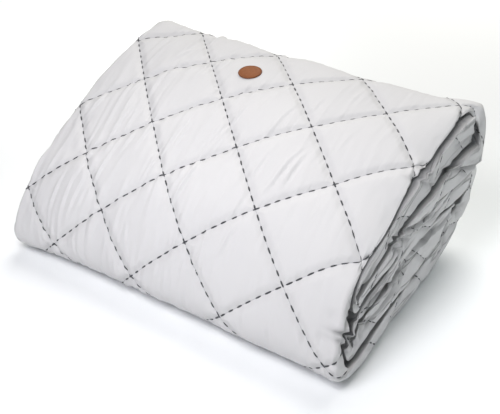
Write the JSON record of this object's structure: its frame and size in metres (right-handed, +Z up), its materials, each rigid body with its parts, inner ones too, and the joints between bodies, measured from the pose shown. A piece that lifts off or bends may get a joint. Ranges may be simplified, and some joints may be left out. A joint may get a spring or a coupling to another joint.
{
  "type": "folded quilted bedspread",
  "caption": "Quilted white bedspread with diamond stitching and a round leather label, folded into a soft layered bundle that lies on a shelf or bed.",
  "frame": {"origin": "middle of the bundle's footprint, on the surface that it lies on", "axes": "+X along the bundle, from its left end folds to its right ones; +Y to the open back, with the spine fold at -Y; +Z up"},
  "size_m": [0.589, 0.4306, 0.271],
  "materials": {
    "quilted_cloth": "matt, finely woven cotton with dark hand-style quilting thread",
    "label_leather": "smooth tan leather with a darker edge"
  },
  "bodies": {
    "root": {"bedspread": "quilted_cloth", "label": "label_leather"}
  },
  "joints": []
}
